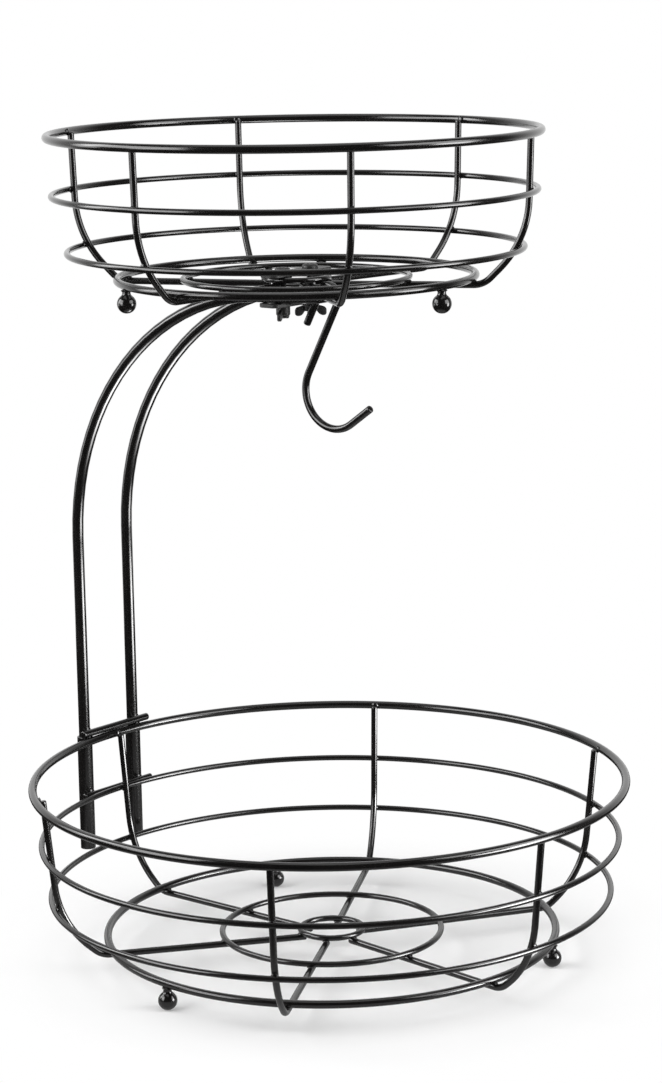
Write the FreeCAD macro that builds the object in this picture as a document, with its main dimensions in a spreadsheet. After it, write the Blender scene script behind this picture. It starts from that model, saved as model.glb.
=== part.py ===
import FreeCAD, Part
import math
import os
import re
from collections import namedtuple

import Sketcher
from FreeCAD import Placement, Rotation, Vector

# Two-tier basket of welded black wire, with a stand of one bent rod and a hanging hook.
# Millimetres, +Z up, origin on the lower basket's axis at table height, stand towards +Y.

# Driving sizes. Heights are of centre lines above the table, radii of the wire's centre line,
# and an inset is how much smaller a ring's radius is than its rim's.
SIZES = {
    # wire diameters, the gap left at each weld, and the rounding of cut ends
    "rim_wire": 4.2,
    "hoop_wire": 3.0,
    "rib_wire": 3.4,
    "base_wire": 4.0,
    "arm_wire": 6.0,
    "bar_wire": 3.8,
    "brace_wire": 3.0,
    "hook_wire": 3.8,
    "weld_gap": 0.05,
    "wire_end_round": 0.6,
    # lower basket
    "lower_rim_radius": 150.0,
    "lower_rim_height": 92.2,
    "lower_high_hoop_height": 62.6,
    "lower_low_hoop_height": 35.1,
    "lower_base_inset": 35.5,
    "lower_base_height": 13.0,
    "lower_floor_radius": 56.0,
    "lower_knee_bend": 50.0,
    "lower_slope_angle": 50.0,
    # upper basket
    "upper_rim_radius": 121.0,
    "upper_rim_height": 417.2,
    "upper_high_hoop_inset": 1.5,
    "upper_high_hoop_height": 388.5,
    "upper_low_hoop_height": 360.4,
    "upper_base_inset": 32.5,
    "upper_base_height": 346.6,
    "upper_floor_radius": 56.0,
    "upper_knee_bend": 50.0,
    "upper_slope_angle": 45.0,
    "upper_set_back": 15.6,
    # both baskets
    "toe_bend": 12.0,
    "centre_radius": 16.0,
    "rib_overhang": 2.5,
    "ball_diameter": 9.5,
    "ball_flat_depth": 0.2,
    "ball_neck_diameter": 4.2,
    # sockets and stand
    "arm_spacing": 37.0,
    "tube_diameter": 8.0,
    "tube_length": 62.0,
    "tube_rise": 1.4,
    "tube_fit": 0.1,
    "tube_bottom_room": 4.0,
    "bar_overhang": 3.4,
    "bar_seat_gap": 0.1,
    "arm_lead": 11.85,
    "front_bar_reach": 5.5,
    "front_bend": 9.0,
    "front_lead": 4.0,
    # fixing of the upper basket to the stand
    "screw_spacing": 21.0,
    "screw_diameter": 4.0,
    "screw_head_diameter": 8.0,
    "screw_head_height": 2.2,
    "screw_head_round": 1.5,
    "screw_hole_room": 0.4,
    "screw_tail": 1.5,
    "plate_width": 46.0,
    "plate_depth": 12.0,
    "plate_thickness": 2.0,
    "plate_corner": 3.0,
    "strap_width": 46.0,
    "strap_depth": 11.0,
    "strap_thickness": 2.0,
    "strap_corner": 4.0,
    "nut_span": 16.0,
    "nut_hub_diameter": 7.0,
    "nut_hub_height": 4.6,
    "nut_height": 7.0,
    "nut_ear_thickness": 1.8,
    "nut_ear_round": 1.4,
    "nut_fit": 0.05,
    "nut_seat_gap": 0.1,
    # hook
    "hook_lean": 28.3,
    "hook_top_bend": 6.0,
    "hook_gap": 0.3,
    "hook_stub": 19.5,
    "hook_shank": 40.2,
    "hook_bend": 18.3,
    "hook_tip": 15.5,
    "hook_tip_angle": 35.0,
}

# Directions of ribs and feet round each basket's axis, and of the nuts' ears, in degrees from +X.
RIB_ANGLES = {"lower": (30, 90, 143, 209, 263.3, 328.3), "upper": (55, 113, 181, 233.2, 298, 354)}
FOOT_ANGLES = {"lower": (55.5, 175.5, 295.5), "upper": (32, 152, 272)}
NUT_ANGLES = {"left": 24, "right": -38}
SIDES = {"left": -1, "right": 1}

# One ear of a wing nut: places as shares of half the span and of the height, hub side first.
EAR_OUTLINE_SHARES = ((0.0, 0.08), (1.0, 0.42), (1.0, 1.0), (0.6, 1.0), (0.36, 0.62), (0.0, 0.62))

# A wire's centre line is straight runs with tangent bends between them; a bend turns left or right.
Run = namedtuple("Run", "angle length")
Bend = namedtuple("Bend", "radius turn")
LEFT, RIGHT = 1, -1
FULL_TURN = 360
START, END, CENTRE = 1, 2, 3
Y_AXIS = Vector(0, 1, 0)
Z_AXIS = Vector(0, 0, 1)
NEARLY_ALONG_SHARE = 0.99

doc = FreeCAD.newDocument("tiered_wire_basket")
sheet = doc.addObject("Spreadsheet::Sheet", "Sizes")
for row, (alias, number) in enumerate(SIZES.items(), start=1):
    sheet.set(f"A{row}", alias)
    sheet.set(f"B{row}", str(number))
    sheet.setAlias(f"B{row}", alias)
worked = doc.addObject("Spreadsheet::Sheet", "Worked")
worked_names = []
sub_parts = []
doc.recompute()


def full(formula):
    """A formula with the name of each size written as its cell."""
    def cell(found):
        name = found[0]
        if name in SIZES:
            return f"Sizes.{name}"
        return f"Worked.{name}" if name in worked_names else name
    return re.sub(r"[a-z][a-z_0-9]*", cell, formula)


def work_out(name, formula):
    """Keep a size that follows from the others in a cell of its own."""
    cell_row = len(worked_names) + 1
    worked.set(f"A{cell_row}", name)
    worked.set(f"B{cell_row}", "=" + full(formula))
    worked.setAlias(f"B{cell_row}", name)
    worked_names.append(name)
    doc.recompute()


def value(formula):
    result = sheet.evalExpression(full(formula))
    return float(getattr(result, "Value", result))


def keep(piece, label):
    piece.Label = label
    sub_parts.append(piece)
    return piece


def origin_plane(body, role):
    return next(plane for plane in body.Origin.OriginFeatures if plane.Role == role)


def new_sketch(body, name, role, offset="0"):
    """A sketch on one of the body's own planes, moved along that plane's normal."""
    sketch = body.newObject("Sketcher::SketchObject", name)
    sketch.AttachmentSupport = [(origin_plane(body, role), "")]
    sketch.MapMode = "FlatFace"
    sketch.setExpression("AttachmentOffset.Base.z", full(offset))
    return sketch


def bind(sketch, constraint, formula):
    index = sketch.addConstraint(constraint)
    sketch.setExpression(f"Constraints[{index}]", full(formula))


def bind_point(sketch, geometry, point, across, up):
    bind(sketch, Sketcher.Constraint("DistanceX", -1, START, geometry, point, value(across)), across)
    bind(sketch, Sketcher.Constraint("DistanceY", -1, START, geometry, point, value(up)), up)


def draw_outline(sketch, corners):
    """A closed outline of straight sides whose corners are pairs of formulas."""
    points = [Vector(value(across), value(up), 0) for across, up in corners]
    for start, end in zip(points, points[1:] + points[:1]):
        sketch.addGeometry(Part.LineSegment(start, end))
    last_side = len(corners) - 1
    for side, (across, up) in enumerate(corners):
        sketch.addConstraint(Sketcher.Constraint("Coincident", last_side, END, side, START))
        bind_point(sketch, side, START, across, up)
        last_side = side


def draw_circle(sketch, across, up, radius):
    centre = Vector(value(across), value(up), 0)
    circle = sketch.addGeometry(Part.Circle(centre, Z_AXIS, value(radius)))
    bind_point(sketch, circle, CENTRE, across, up)
    bind(sketch, Sketcher.Constraint("Radius", circle, value(radius)), radius)


def towards(angle):
    return Vector(math.cos(math.radians(angle)), math.sin(math.radians(angle)), 0)


def draw_wire_line(sketch, across, up, steps):
    """The centre line of a bent wire, from a start point through its runs and bends in turn."""
    place = Vector(value(across), value(up), 0)
    for number, step in enumerate(steps):
        if isinstance(step, Run):
            end = place + towards(value(step.angle)) * value(step.length)
            sketch.addGeometry(Part.LineSegment(place, end))
        else:
            before, after = value(steps[number - 1].angle), value(steps[number + 1].angle)
            swept = step.turn * (step.turn * (after - before) % FULL_TURN)
            first = before - step.turn * FULL_TURN / 4
            centre = place - towards(first) * value(step.radius)
            end = centre + towards(first + swept) * value(step.radius)
            low, high = sorted((math.radians(first), math.radians(first + swept)))
            circle = Part.Circle(centre, Z_AXIS, value(step.radius))
            sketch.addGeometry(Part.ArcOfCircle(circle, low, high))
        place = end
    bind_point(sketch, 0, START, across, up)
    for number, step in enumerate(steps):
        if isinstance(step, Run):
            heading = math.radians(value(step.angle))
            bind(sketch, Sketcher.Constraint("Angle", number, heading), step.angle)
            bind(sketch, Sketcher.Constraint("Distance", number, value(step.length)), step.length)
        else:
            near, far = (START, END) if step.turn == LEFT else (END, START)
            sketch.addConstraint(Sketcher.Constraint("Tangent", number - 1, END, number, near))
            sketch.addConstraint(Sketcher.Constraint("Tangent", number, far, number + 1, START))
            bind(sketch, Sketcher.Constraint("Radius", number, value(step.radius)), step.radius)


def sweep_wire(body, name, role, offset, start, steps, wire):
    """A round wire along a centre line drawn on one of the body's planes."""
    path = new_sketch(body, name + "_path", role, offset)
    draw_wire_line(path, *start, steps)
    doc.recompute()
    section = body.newObject("Sketcher::SketchObject", name + "_section")
    section.AttachmentSupport = [(path, "Edge1")]
    section.MapMode = "NormalToEdge"
    draw_circle(section, "0", "0", f"{wire} / 2")
    pipe = body.newObject("PartDesign::AdditivePipe", name + "_pipe")
    pipe.Profile = section
    pipe.Spine = path
    doc.recompute()
    return pipe


def round_edges(body, chosen, radius):
    """Round the edges of the body so far that a test picks."""
    base = body.Tip
    names = [f"Edge{n}" for n, edge in enumerate(base.Shape.Edges, start=1) if chosen(edge)]
    rounding = body.newObject("PartDesign::Fillet", body.Name + "_round")
    rounding.Base = (base, names)
    rounding.setExpression("Radius", full(radius))
    doc.recompute()


def is_straight_along(edge, axis):
    return isinstance(edge.Curve, Part.Line) and abs(edge.Curve.Direction.dot(axis)) > NEARLY_ALONG_SHARE


def round_wire_ends(body):
    flats = [face for face in body.Tip.Shape.Faces if isinstance(face.Surface, Part.Plane)]
    cut_edges = [edge for face in flats for edge in face.Edges]
    round_edges(body, lambda edge: any(edge.isSame(cut) for cut in cut_edges), "wire_end_round")


def bent_wire(label, role, offset, start, steps, wire):
    """One wire, bent and cut, as a body of its own."""
    body = doc.addObject("PartDesign::Body", label)
    sweep_wire(body, label, role, offset, start, steps, wire)
    round_wire_ends(body)
    return keep(body, label)


def cross_wire(label, back, height, wire, half_length):
    """A straight cut wire that lies across the two arms or tubes."""
    steps = [Run("0", f"2 * ({half_length})")]
    return bent_wire(label, "XY_Plane", height, (f"-({half_length})", back), steps, wire)


def turn_into_place(piece, angle, set_back):
    """Turn a piece that is drawn towards +X to its place round a basket's axis."""
    piece.Placement = Placement(Vector(0, 0, 0), Rotation(Z_AXIS, angle))
    piece.setExpression("Placement.Base.y", full(set_back))


def work_out_basket(tier):
    """Where a basket's ribs touch its rim, hoops and rings."""
    hoop_offset = "((hoop_wire + rib_wire) / 2 + weld_gap)"
    work_out(f"{tier}_base_radius", f"{tier}_rim_radius - {tier}_base_inset")
    work_out(f"{tier}_rib_rim", f"{tier}_rim_radius - (rim_wire + rib_wire) / 2 - weld_gap")
    work_out(f"{tier}_rib_hoop", f"{tier}_high_hoop_radius - {hoop_offset}")
    work_out(f"{tier}_rib_floor", f"{tier}_base_height - (base_wire + rib_wire) / 2 - weld_gap")
    work_out(f"{tier}_ring_height", f"{tier}_rib_floor + {hoop_offset}")
    # the wall leans from the high hoop to the rim
    hoop_to_rim = f"({tier}_rim_height - {tier}_high_hoop_height)"
    work_out(f"{tier}_wall_slant", f"({tier}_rib_rim - {tier}_rib_hoop) / {hoop_to_rim}")
    work_out(f"{tier}_wall_lean", f"atan({tier}_wall_slant) / 1 deg")
    # the toe is where the slope would meet the floor run, the knee where it would meet the wall
    work_out(f"{tier}_toe_tangent", f"toe_bend * tan(45 - {tier}_slope_angle / 2)")
    work_out(f"{tier}_toe", f"{tier}_base_radius + {tier}_toe_tangent")
    work_out(f"{tier}_slope", f"tan({tier}_slope_angle)")
    wall_foot = f"{tier}_rib_rim - {tier}_wall_slant * ({tier}_rim_height - {tier}_rib_floor)"
    work_out(f"{tier}_knee_rise", f"({wall_foot} - {tier}_toe) / ({tier}_slope - {tier}_wall_slant)")
    work_out(f"{tier}_knee", f"{tier}_toe + {tier}_knee_rise * {tier}_slope")
    work_out(f"{tier}_knee_height", f"{tier}_rib_floor + {tier}_knee_rise")
    half_turn = f"(({tier}_slope_angle - {tier}_wall_lean) / 2)"
    work_out(f"{tier}_knee_tangent", f"{tier}_knee_bend * tan{half_turn}")
    wall_length = f"({tier}_rim_height - {tier}_knee_height) / cos({tier}_wall_lean)"
    work_out(f"{tier}_wall_run", f"{wall_length} - {tier}_knee_tangent")
    slope_length = f"{tier}_knee_rise / cos({tier}_slope_angle)"
    work_out(f"{tier}_slope_run", f"{slope_length} - {tier}_knee_tangent - {tier}_toe_tangent")
    # the low hoop lies against the outside of the knee bend
    middle = f"(({tier}_slope_angle + {tier}_wall_lean) / 2)"
    bend_reach = f"{tier}_knee_bend / cos{half_turn}"
    work_out(f"{tier}_bend_out", f"{tier}_knee - {bend_reach} * cos{middle}")
    work_out(f"{tier}_bend_height", f"{tier}_knee_height + {bend_reach} * sin{middle}")
    hoop_reach = f"({tier}_knee_bend + {hoop_offset})"
    hoop_drop = f"({tier}_bend_height - {tier}_low_hoop_height)"
    work_out(f"{tier}_low_hoop_radius", f"{tier}_bend_out + sqrt({hoop_reach} ^ 2 - {hoop_drop} ^ 2)")


def wire_ring(label, radius, wire, height, set_back):
    ring = doc.addObject("Part::Torus", label)
    ring.setExpression("Radius1", full(radius))
    ring.setExpression("Radius2", full(f"{wire} / 2"))
    ring.setExpression("Placement.Base.y", full(set_back))
    ring.setExpression("Placement.Base.z", full(height))
    return keep(ring, label)


def basket_rings(tier, set_back):
    """Rim and hoops outside the ribs; base, floor and centre rings on top of their floor runs."""
    for name, wire in (("rim", "rim_wire"), ("high_hoop", "hoop_wire"), ("low_hoop", "hoop_wire")):
        wire_ring(f"{tier}_{name}", f"{tier}_{name}_radius", wire, f"{tier}_{name}_height", set_back)
    wire_ring(f"{tier}_base_ring", f"{tier}_base_radius", "base_wire", f"{tier}_base_height", set_back)
    wire_ring(f"{tier}_floor_ring", f"{tier}_floor_radius", "hoop_wire", f"{tier}_ring_height", set_back)
    wire_ring(f"{tier}_centre_ring", "centre_radius", "hoop_wire", f"{tier}_ring_height", set_back)


def basket_ribs(tier, set_back):
    """Each rib drops inside the rim and hoops, curves in, and runs under the base ring to the middle."""
    steps = [
        Run(f"-90 - {tier}_wall_lean", f"{tier}_wall_run"),
        Bend(f"{tier}_knee_bend", RIGHT),
        Run(f"-90 - {tier}_slope_angle", f"{tier}_slope_run"),
        Bend("toe_bend", RIGHT),
        Run("180", f"{tier}_base_radius - centre_radius + rib_overhang"),
    ]
    start = (f"{tier}_rib_rim", f"{tier}_rim_height")
    for number, angle in enumerate(RIB_ANGLES[tier], start=1):
        rib = bent_wire(f"{tier}_rib_{number}", "XZ_Plane", "0", start, steps, "rib_wire")
        turn_into_place(rib, angle, set_back)


def basket_feet(tier, set_back):
    """Ball feet: a ball with a small flat to stand on, and a neck welded under the base ring."""
    ball_height = f"({tier}_base_height - lower_base_height + ball_diameter / 2 - ball_flat_depth)"
    neck_top = f"({tier}_base_height - base_wire / 2 - weld_gap)"
    for number, angle in enumerate(FOOT_ANGLES[tier], start=1):
        label = f"{tier}_foot_{number}"
        ball = doc.addObject("Part::Sphere", label + "_ball")
        ball.setExpression("Radius", full("ball_diameter / 2"))
        ball.setExpression("Angle1", full("-asin(1 - 2 * ball_flat_depth / ball_diameter)"))
        neck = doc.addObject("Part::Cylinder", label + "_neck")
        neck.setExpression("Radius", full("ball_neck_diameter / 2"))
        neck.setExpression("Height", full(f"{neck_top} - {ball_height}"))
        for solid in (ball, neck):
            solid.setExpression("Placement.Base.x", full(f"{tier}_base_radius"))
            solid.setExpression("Placement.Base.z", full(ball_height))
        foot = doc.addObject("Part::Fuse", label)
        foot.Base = ball
        foot.Tool = neck
        turn_into_place(keep(foot, label), angle, set_back)


def basket(tier, set_back):
    basket_rings(tier, set_back)
    basket_ribs(tier, set_back)
    basket_feet(tier, set_back)


def socket_tube(label, side):
    """Open tube welded upright outside the lower rim; an arm of the stand drops into it."""
    tube = doc.addObject("PartDesign::Body", label)
    section = new_sketch(tube, label + "_section", "XY_Plane", "tube_bottom")
    draw_circle(section, f"{side} * arm_half", "arm_back", "tube_diameter / 2")
    draw_circle(section, f"{side} * arm_half", "arm_back", "arm_wire / 2 + tube_fit")
    wall = tube.newObject("PartDesign::Pad", label + "_wall")
    wall.Profile = section
    wall.setExpression("Length", full("tube_length"))
    return keep(tube, label)


def stand_rod(label):
    """One rod bent to a hairpin: its arms rise from the sockets and arch forward under the upper basket."""
    rod = doc.addObject("PartDesign::Body", label)
    front_steps = [
        Run("-90", "front_lead"),
        Bend("front_bend", LEFT),
        Run("0", "arm_spacing - 2 * front_bend"),
        Bend("front_bend", LEFT),
        Run("90", "front_lead"),
    ]
    front_start = ("-arm_half", "arm_front")
    sweep_wire(rod, label + "_front", "XY_Plane", "arm_top", front_start, front_steps, "arm_wire")
    arm_steps = [
        Run("90", "arm_top - arm_bend - arm_foot"),
        Bend("arm_bend", LEFT),
        Run("180", "arm_back - arm_bend - arm_front"),
    ]
    arm_start = ("arm_back", "arm_foot")
    arm = sweep_wire(rod, label + "_arm", "YZ_Plane", "arm_half", arm_start, arm_steps, "arm_wire")
    other_arm = rod.newObject("PartDesign::Mirrored", label + "_other_arm")
    other_arm.Originals = [arm]
    other_arm.MirrorPlane = (origin_plane(rod, "YZ_Plane"), [""])
    rod.Tip = other_arm
    doc.recompute()
    round_wire_ends(rod)
    return keep(rod, label)


def drilled_strip(label, bottom, width, depth, thickness, corner):
    """A flat steel strip with rounded corners and two holes for the clamp screws."""
    strip = doc.addObject("PartDesign::Body", label)
    outline = new_sketch(strip, label + "_outline", "XY_Plane", bottom)
    left, right = f"-{width} / 2", f"{width} / 2"
    near, far = f"upper_set_back - {depth} / 2", f"upper_set_back + {depth} / 2"
    draw_outline(outline, [(left, near), (right, near), (right, far), (left, far)])
    for side in SIDES.values():
        hole = "(screw_diameter + screw_hole_room) / 2"
        draw_circle(outline, f"{side} * screw_spacing / 2", "upper_set_back", hole)
    steel = strip.newObject("PartDesign::Pad", label + "_steel")
    steel.Profile = outline
    steel.setExpression("Length", full(thickness))
    doc.recompute()
    round_edges(strip, lambda edge: is_straight_along(edge, Z_AXIS), corner)
    return keep(strip, label)


def clamp_screw(label, side):
    """Low-headed screw: its head lies on the strap in the basket, its tail stands out below the nut."""
    screw = doc.addObject("PartDesign::Body", label)
    outline = new_sketch(screw, label + "_outline", "XZ_Plane")
    head_top = "head_seat + screw_head_height"
    draw_outline(outline, [
        ("0", "screw_foot"),
        ("screw_diameter / 2", "screw_foot"),
        ("screw_diameter / 2", "head_seat"),
        ("screw_head_diameter / 2", "head_seat"),
        ("screw_head_diameter / 2", head_top),
        ("0", head_top),
    ])
    turned = screw.newObject("PartDesign::Revolution", label + "_turned")
    turned.Profile = outline
    turned.ReferenceAxis = (outline, ["V_Axis"])
    turned.Angle = FULL_TURN
    doc.recompute()
    crown = max(turned.Shape.Edges, key=lambda edge: edge.BoundBox.ZMin)
    round_edges(screw, lambda edge: edge.isSame(crown), "screw_head_round")
    screw.setExpression("Placement.Base.x", full(f"{side} * screw_spacing / 2"))
    screw.setExpression("Placement.Base.y", full("upper_set_back"))
    return keep(screw, label)


def wing_nut(label, side, angle):
    """Wing nut under the stand's plate: a round hub with two flat ears that point down and out."""
    nut = doc.addObject("PartDesign::Body", label)
    hub_circle = new_sketch(nut, label + "_hub_circle", "XY_Plane")
    draw_circle(hub_circle, "0", "0", "nut_hub_diameter / 2")
    hub = nut.newObject("PartDesign::Pad", label + "_hub")
    hub.Profile = hub_circle
    hub.Reversed = True
    hub.setExpression("Length", full("nut_hub_height"))
    ear_outline = new_sketch(nut, label + "_ear_outline", "XZ_Plane")
    corners = [(f"nut_span / 2 * {out}", f"-nut_height * {down}") for out, down in EAR_OUTLINE_SHARES]
    draw_outline(ear_outline, corners)
    ear = nut.newObject("PartDesign::Pad", label + "_ear")
    ear.Profile = ear_outline
    ear.Midplane = True
    ear.setExpression("Length", full("nut_ear_thickness"))
    doc.recompute()
    other_ear = nut.newObject("PartDesign::Mirrored", label + "_other_ear")
    other_ear.Originals = [ear]
    other_ear.MirrorPlane = (origin_plane(nut, "YZ_Plane"), [""])
    nut.Tip = other_ear
    doc.recompute()

    def at_ear_corner(edge):
        return is_straight_along(edge, Y_AXIS) and abs(edge.CenterOfMass.x) > value("nut_hub_diameter / 2")

    round_edges(nut, at_ear_corner, "nut_ear_round")
    bore_circle = new_sketch(nut, label + "_bore_circle", "XY_Plane")
    draw_circle(bore_circle, "0", "0", "screw_diameter / 2 + nut_fit")
    bore = nut.newObject("PartDesign::Pocket", label + "_bore")
    bore.Profile = bore_circle
    bore.Type = "ThroughAll"
    bore.Midplane = True
    turn_into_place(nut, angle, "upper_set_back")
    nut.setExpression("Placement.Base.x", full(f"{side} * screw_spacing / 2"))
    nut.setExpression("Placement.Base.z", full("nut_top"))
    return keep(nut, label)


def hanging_hook(label):
    """Wire hook that hangs over the front run of the stand by a tight bend, with its stub end at the back."""
    start = (
        "(hook_drop + hook_stub) * sin(hook_lean) + hook_top_bend * cos(hook_lean) - front_bar_reach",
        "arm_top + hook_top_bend * sin(hook_lean) - (hook_drop + hook_stub) * cos(hook_lean)",
    )
    steps = [
        Run("90 + hook_lean", "hook_stub"),
        Bend("hook_top_bend", LEFT),
        Run("hook_lean - 90", "hook_shank"),
        Bend("hook_bend", RIGHT),
        Run("180 - hook_tip_angle", "hook_tip"),
    ]
    return bent_wire(label, "YZ_Plane", "0", start, steps, "hook_wire")


# The tubes touch the lower rim from outside, and the brace lies between them and the high hoop.
work_out("arm_half", "arm_spacing / 2")
work_out("tube_circle", "lower_rim_radius + (rim_wire + tube_diameter) / 2 + weld_gap")
work_out("tube_bottom", "lower_rim_height + tube_rise - tube_length")
work_out("arm_back", "sqrt(tube_circle ^ 2 - arm_half ^ 2)")
work_out("arm_foot", "tube_bottom + tube_bottom_room")
work_out("brace_back", "arm_back - (tube_diameter + brace_wire) / 2 - weld_gap")
work_out("lower_high_hoop_radius", "brace_back - (brace_wire + hoop_wire) / 2 - weld_gap")
work_out_basket("lower")
work_out("upper_high_hoop_radius", "upper_rim_radius - upper_high_hoop_inset")
work_out_basket("upper")
# The upper basket's ribs lie on the arms; plate, strap, screws and nuts clamp them together.
work_out("arm_top", "upper_rib_floor - (rib_wire + arm_wire) / 2 - weld_gap")
work_out("arm_front", "front_bend + front_lead - front_bar_reach")
# The arch is as wide as the arms' reach leaves room for, before their straight lead under the basket.
work_out("arm_bend", "arm_back - arm_front - arm_lead")
work_out("bar_back", "arm_back - (arm_wire + bar_wire) / 2 - weld_gap")
work_out("bar_height", "lower_rim_height + (rim_wire + bar_wire) / 2 + bar_seat_gap")
work_out("plate_bottom", "arm_top - arm_wire / 2 - weld_gap - plate_thickness")
work_out("strap_bottom", "upper_ring_height + hoop_wire / 2 + weld_gap")
work_out("head_seat", "strap_bottom + strap_thickness + weld_gap")
work_out("nut_top", "plate_bottom - nut_seat_gap")
work_out("screw_foot", "nut_top - nut_hub_height - screw_tail")
work_out("hook_drop", "hook_top_bend - (hook_wire + arm_wire) / 2 - hook_gap")

basket("lower", "0")
for name, side in SIDES.items():
    socket_tube(f"socket_{name}", side)
cross_wire("socket_brace", "brace_back", "lower_high_hoop_height", "brace_wire",
           "arm_half + tube_diameter / 2 + bar_overhang")
stand_rod("stand_hoop")
cross_wire("stop_bar", "bar_back", "bar_height", "bar_wire", "arm_half + arm_wire / 2 + bar_overhang")
drilled_strip("stand_plate", "plate_bottom", "plate_width", "plate_depth", "plate_thickness", "plate_corner")
basket("upper", "upper_set_back")
drilled_strip("clamp_strap", "strap_bottom", "strap_width", "strap_depth", "strap_thickness", "strap_corner")
for name, side in SIDES.items():
    clamp_screw(f"clamp_screw_{name}", side)
    wing_nut(f"wing_nut_{name}", side, NUT_ANGLES[name])
hanging_hook("hanging_hook")
doc.recompute()

for item in doc.Objects:
    if "Invalid" in item.State or "Error" in item.State:
        raise RuntimeError(f"{item.Label} did not build: {item.State}")
for piece in sub_parts:
    if piece.Shape.isNull() or not piece.Shape.isValid() or len(piece.Shape.Solids) != 1:
        raise RuntimeError(f"{piece.Label} is not one valid solid")

os.makedirs("parts", exist_ok=True)
for piece in sub_parts:
    piece.Shape.exportStep(f"parts/{piece.Label}.step")
print(f"{len(sub_parts)} parts written")
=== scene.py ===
import math
from collections import namedtuple

import bmesh
import bpy
from bmesh.types import BMEdge, BMVert
from mathutils import Matrix, Quaternion, Vector


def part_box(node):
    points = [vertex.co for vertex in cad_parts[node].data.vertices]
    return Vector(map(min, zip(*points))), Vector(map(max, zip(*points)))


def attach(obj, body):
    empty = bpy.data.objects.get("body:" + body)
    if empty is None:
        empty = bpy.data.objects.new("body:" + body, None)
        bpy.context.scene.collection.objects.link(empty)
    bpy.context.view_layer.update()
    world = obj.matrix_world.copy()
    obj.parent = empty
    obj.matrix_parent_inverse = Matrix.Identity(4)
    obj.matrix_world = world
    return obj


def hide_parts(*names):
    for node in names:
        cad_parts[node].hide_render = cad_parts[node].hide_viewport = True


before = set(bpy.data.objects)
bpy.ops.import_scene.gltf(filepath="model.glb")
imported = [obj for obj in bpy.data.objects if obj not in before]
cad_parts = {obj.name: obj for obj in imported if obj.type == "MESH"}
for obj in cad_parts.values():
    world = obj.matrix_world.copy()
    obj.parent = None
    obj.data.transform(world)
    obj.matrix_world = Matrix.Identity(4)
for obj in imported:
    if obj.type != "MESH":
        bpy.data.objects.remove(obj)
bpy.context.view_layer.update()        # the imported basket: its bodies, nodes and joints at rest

scene = bpy.context.scene
scene.view_settings.view_transform = "Standard"

# Camera
# A long lens a metre and a half from the basket, a little above it and off its left front corner.
# It is rolled by about a degree, as the photograph is.
IMAGE_HEIGHT = 1083
FOCAL_LENGTH_PIXELS = 3004.6
SENSOR = 36.0
CAMERA_AZIMUTH = math.radians(-50.0)
CAMERA_ELEVATION = math.radians(11.26)
CAMERA_ROLL = math.radians(-0.97)
CAMERA_DISTANCE = 1.5
CAMERA_AIM = Vector((0.001, -0.003, 0.2148))
UP = Vector((0, 0, 1))


def way_to(azimuth, elevation=0):
    """The direction from the basket to something at an azimuth, 0 at the open front, and an elevation."""
    level = Vector((math.sin(azimuth), -math.cos(azimuth), 0)) * math.cos(elevation)
    return level + UP * math.sin(elevation)


lens = bpy.data.cameras.new("camera")
lens.sensor_width = SENSOR
lens.lens = FOCAL_LENGTH_PIXELS * SENSOR / IMAGE_HEIGHT
camera = bpy.data.objects.new("camera", lens)
towards_camera = way_to(CAMERA_AZIMUTH, CAMERA_ELEVATION)
level_turn = towards_camera.to_track_quat("Z", "Y")
camera.rotation_mode = "QUATERNION"
camera.rotation_quaternion = level_turn @ Quaternion(UP, CAMERA_ROLL)
camera.location = CAMERA_AIM + towards_camera * CAMERA_DISTANCE
scene.collection.objects.link(camera)
scene.camera = camera

# Studio
# A matt white floor fades into a white sweep, so that only the basket's soft shadow shows. The gloss mirrors
# softboxes at both sides, two strips that draw lines of light on the stand, a pale card under the basket and
# the sweep. The rest of the room is flagged off black, which keeps the wires black.
ORIGIN = Vector((0, 0, 0))
WHITE = (1, 1, 1, 1)
FLOOR_RADIUS = 0.8
FLOOR_SIDES = 96
FLOOR_WHITE = (0.82, 0.82, 0.82, 1)
FLOOR_FADE_START = 0.10
FLOOR_FADE_END = 0.21
FLOOR_NEAR_GLOW = 0.08
CARD_BRIGHTNESS = 0.45
CARD_EDGE_START = 0.15
CARD_EDGE_END = 0.27
SURROUND_LIGHT = 0.35
SWEEP_AZIMUTH = 130
SWEEP_EDGE_START = 0.3
SWEEP_EDGE_END = 0.85
DARK_ROOM = 0.03
SOFTBOXES = {
    # name: azimuth and distance of its middle, its height, width and length, and its power in watts
    "right_softbox": (24, 0.95, 0.22, 0.34, 0.40, 4.7),
    "left_softbox": (-153, 0.95, 0.60, 0.28, 1.00, 2.6),
    "left_key_softbox": (-128, 1.00, 0.78, 1.10, 0.74, 12.0),
    "left_low_softbox": (-111, 1.00, 0.33, 0.50, 0.36, 1.9),
    "right_key_softbox": (15, 1.00, 0.78, 0.90, 0.74, 8.5),
}
GRIDDED_STRIPS = {
    # name: its middle, what it is aimed at, its width and length, its grid's angle and its power in watts
    "arm_strip": ((0.164, -0.263, 0.054), (0, 0.155, 0.085), 0.45, 0.08, 50, 0.25),
    "arch_strip": ((0.02, 0.06, 0.128), (0, 0.125, 0.29), 0.11, 0.13, 60, 0.10),
}
OVERHEAD_SIZE = 1.4
OVERHEAD_HEIGHT = 1.7
OVERHEAD_POWER = 5.0
CREASE = math.radians(40)


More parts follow.
